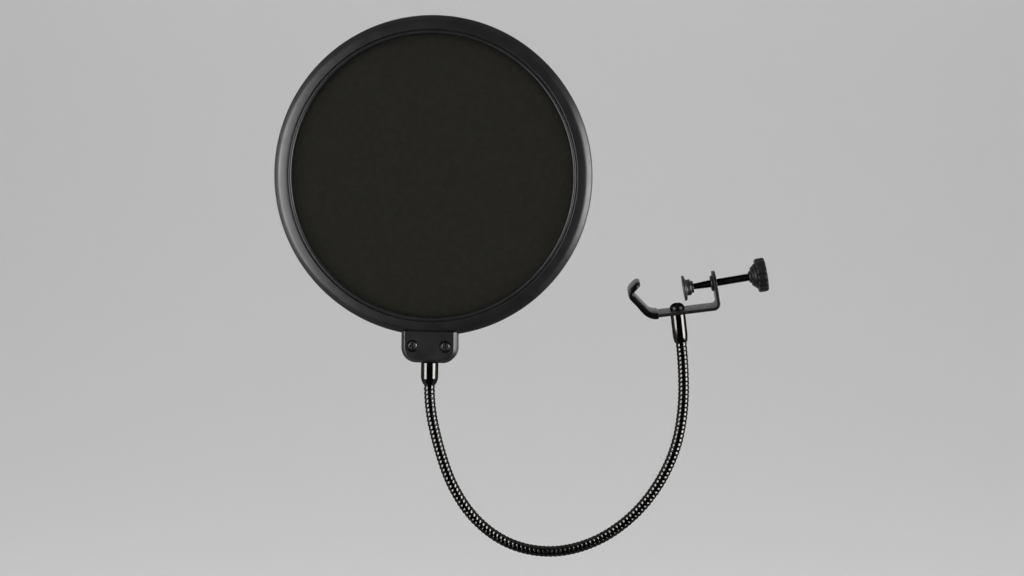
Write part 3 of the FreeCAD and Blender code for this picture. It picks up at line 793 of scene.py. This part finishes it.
def build_boss():
    boss = lathe("upright_boss", [
        (2.05, -1.3, 0), (3.3, -1.3, 0.3), (3.9, -1.0, 0.3), (3.9, 0, 0.1), (2.9, 0, 0),
        (2.9, BAR_THICKNESS, 0.1), (2.05, BAR_THICKNESS, 0),
    ], SCREW @ shift(z=BOSS_FACE), loop=True)
    dress(boss, "clamp", "clamp_metal", clamp_metal(), "screw_boss")


def thread_radius(s, angle):
    """A rounded thread; its first turns are worn thinner towards the pad."""
    turn = (s / THREAD_PITCH + angle / (2 * math.pi)) % 1.0
    crest = min(1.0, max(0.0, 1.25 * (1 - abs(2 * turn - 1))))
    worn = 0.35 * max(0.0, 1 - (s - THREAD_START) / 6.5)
    return THREAD_RADIUS - worn - THREAD_DEPTH * (1 - crest)


def build_screw():
    """The clamping screw: a button and neck inside the pad, then the thread up to the knob."""
    steps = round((THREAD_END - THREAD_START) / THREAD_PITCH * 8)
    angles = [2 * math.pi * k / 36 for k in range(36)]
    rings = []
    for radius, z in ((1.7, 2.1), (1.7, 4.0), (1.4, 4.0), (1.4, 5.6), (1.5, THREAD_START - 0.1)):
        rings.append([SCREW @ around_axis(radius, angle, z) for angle in angles])
    for i in range(steps + 1):
        z = THREAD_START + (THREAD_END - THREAD_START) * i / steps
        rings.append([SCREW @ around_axis(thread_radius(z, angle), angle, z) for angle in angles])
    screw = finish_mesh("long_screw", skin_mesh(rings))
    dress(screw, "screw", "thread_steel", thread_steel(), "clamp_screw")


def build_pad():
    pad = lathe("pressure_pad", [
        (0, 0, 0), (6.3, 0, 0.25), (6.3, 1.1, 0.3), (4.0, 1.8, 0.3), (4.0, 3.8, 0.3), (3.0, 4.0, 0.1),
        (3.0, 5.2, 0.25), (1.45, 5.2, 0), (1.45, 4.1, 0), (1.8, 4.1, 0), (1.8, 2.0, 0), (0, 2.0, 0),
    ], SCREW)
    dress(pad, "pad", "pad_metal", pad_metal(), "swivel_pad")


def knob_shape(angle, radius, height):
    """Lobes round the rim: convex between narrow valleys, fading out towards the hub."""
    if radius < LOBE_START or height < 36.8:
        return radius
    depth = LOBE_DEPTH * min(1.0, (radius - LOBE_START) / 1.5)
    return radius - depth * (1 - abs(math.cos(KNOB_LOBES * angle / 2)) ** 0.55)


def build_knob():
    knob = lathe("grip_knob", [
        (2.0, 33.3, 0), (2.7, 33.1, 0.2), (3.1, 33.9, 0.15), (3.9, 34.15, 0.2), (4.9, 34.6, 0.4),
        (5.15, 35.4, 0.1), (5.6, 35.5, 0.15), (6.3, 36.5, 0.3), (6.3, 36.9, 0), (8.0, 36.9, 0.3),
        (8.55, 37.5, 0.5), (8.55, 41.2, 0.6), (7.9, 41.8, 0.5), (6.2, 41.8, 0.3), (5.6, 41.4, 0.4),
        (0, 41.3, 0), (0, THREAD_END, 0), (2.0, THREAD_END, 0), (2.0, 33.3, 0),
    ], SCREW, around=240, shape=knob_shape)
    dress(knob, "screw", "knob_plastic", knob_plastic(), "knob")


# ---------------------------------------------------------------- stage

def pale_paper():
    """Matt paper with no gloss and a faint glow, for the floor."""
    material = bpy.data.materials.new("pale_paper")
    material.use_nodes = True
    shader = material.node_tree.nodes["Principled BSDF"]
    shader.inputs["Base Color"].default_value = (0.8, 0.8, 0.8, 1)
    shader.inputs["Emission Color"].default_value = (1, 1, 1, 1)
    shader.inputs["Emission Strength"].default_value = 0.09
    shader.inputs["Roughness"].default_value = 1.0
    shader.inputs["Specular IOR Level"].default_value = 0.0
    return material


def build_floor():
    """A pale floor, low enough for the hoop to hang below its clamp, that curves up behind."""
    profile = [(-FLOOR_REACH, FLOOR_Z), (CURVE_START, FLOOR_Z)]
    for k in range(1, 13):
        angle = math.radians(90 * k / 12)
        profile.append((CURVE_START + CURVE_RADIUS * math.sin(angle),
                        FLOOR_Z + CURVE_RADIUS * (1 - math.cos(angle))))
    profile.append((CURVE_START + CURVE_RADIUS, BACKDROP_TOP))
    bm = bmesh.new()
    rows = [[bm.verts.new((x, y, z)) for x in (-FLOOR_REACH, FLOOR_REACH)] for y, z in profile]
    for low, high in zip(rows, rows[1:]):
        bm.faces.new((low[0], low[1], high[1], high[0]))
    floor = finish_mesh("floor", bm)
    floor.data.materials.append(pale_paper())
    # the floor lights the object but doesn't show in its gloss, and it blocks no lamp
    floor.visible_glossy = False
    floor.visible_shadow = False


def softbox(name, azimuth, elevation, distance, size, power, gloss):
    """A soft lamp round the object, its azimuth in degrees to the right of the camera's side.

    It either shows in the object's gloss or lights the matt surfaces and the floor."""
    target = Vector((-0.02, 0.0, -0.02))
    side, up = math.radians(azimuth), math.radians(elevation)
    away = Vector((math.sin(side) * math.cos(up), -math.cos(side) * math.cos(up), math.sin(up)))
    lamp = bpy.data.lights.new(name, "AREA")
    lamp.shape = "RECTANGLE"
    lamp.size, lamp.size_y = size
    lamp.energy = power
    piece = bpy.data.objects.new(name, lamp)
    piece.location = target + away * distance
    piece.rotation_euler = (-away).to_track_quat("-Z", "Y").to_euler()
    piece.visible_camera = False
    piece.visible_glossy = gloss
    piece.visible_diffuse = not gloss
    bpy.context.scene.collection.objects.link(piece)


def build_world():
    """Pale surroundings that fall away to dark on the camera's side."""
    world = bpy.data.worlds.new("studio")
    world.use_nodes = True
    tree = world.node_tree
    background = tree.nodes["Background"]
    background.inputs["Color"].default_value = (1, 1, 1, 1)
    direction = tree.nodes.new("ShaderNodeTexCoord").outputs["Generated"]
    parts = tree.nodes.new("ShaderNodeSeparateXYZ")
    tree.links.new(direction, parts.inputs["Vector"])
    strength = tree.nodes.new("ShaderNodeMapRange")
    strength.interpolation_type = "SMOOTHSTEP"
    strength.inputs["From Min"].default_value = -0.6
    strength.inputs["From Max"].default_value = 0.1
    strength.inputs["To Min"].default_value = 0.012
    strength.inputs["To Max"].default_value = 0.46
    tree.links.new(parts.outputs["Y"], strength.inputs["Value"])
    tree.links.new(strength.outputs["Result"], background.inputs["Strength"])
    bpy.context.scene.world = world


def build_lights():
    """Two lamps for the highlights at the sides, and two fills for the rest."""
    softbox("left_softbox", -58, 0, 1.6, (0.85, 1.2), 40, gloss=True)
    softbox("right_softbox", 62, 0, 1.6, (1.00, 1.2), 58, gloss=True)
    softbox("front_fill", 0, 40, 2.6, (2.2, 1.4), 20, gloss=False)
    softbox("overhead_fill", 0, 88, 2.4, (3.0, 3.0), 36, gloss=False)
    build_world()


def build_camera():
    """Square on to the arm's plane and a little above, looking at the picture's middle."""
    distance = 0.9
    elevation = math.radians(4)
    target = Vector((-73.246, 4.855, -0.412)) * MM
    camera = bpy.data.cameras.new("camera")
    camera.sensor_width = 36
    camera.lens = 63.105
    camera.clip_start = 0.01
    piece = bpy.data.objects.new("camera", camera)
    piece.location = target + Vector((0, -math.cos(elevation), math.sin(elevation))) * distance
    piece.rotation_euler = (target - piece.location).to_track_quat("-Z", "Y").to_euler()
    bpy.context.scene.collection.objects.link(piece)
    bpy.context.scene.camera = piece


build_hoop()
build_gooseneck()
build_ferrules()
build_stud_nut()
build_bar()
build_sleeve()
build_boss()
build_screw()
build_pad()
build_knob()
build_floor()
build_lights()
build_camera()
bpy.context.scene.view_settings.view_transform = "Standard"
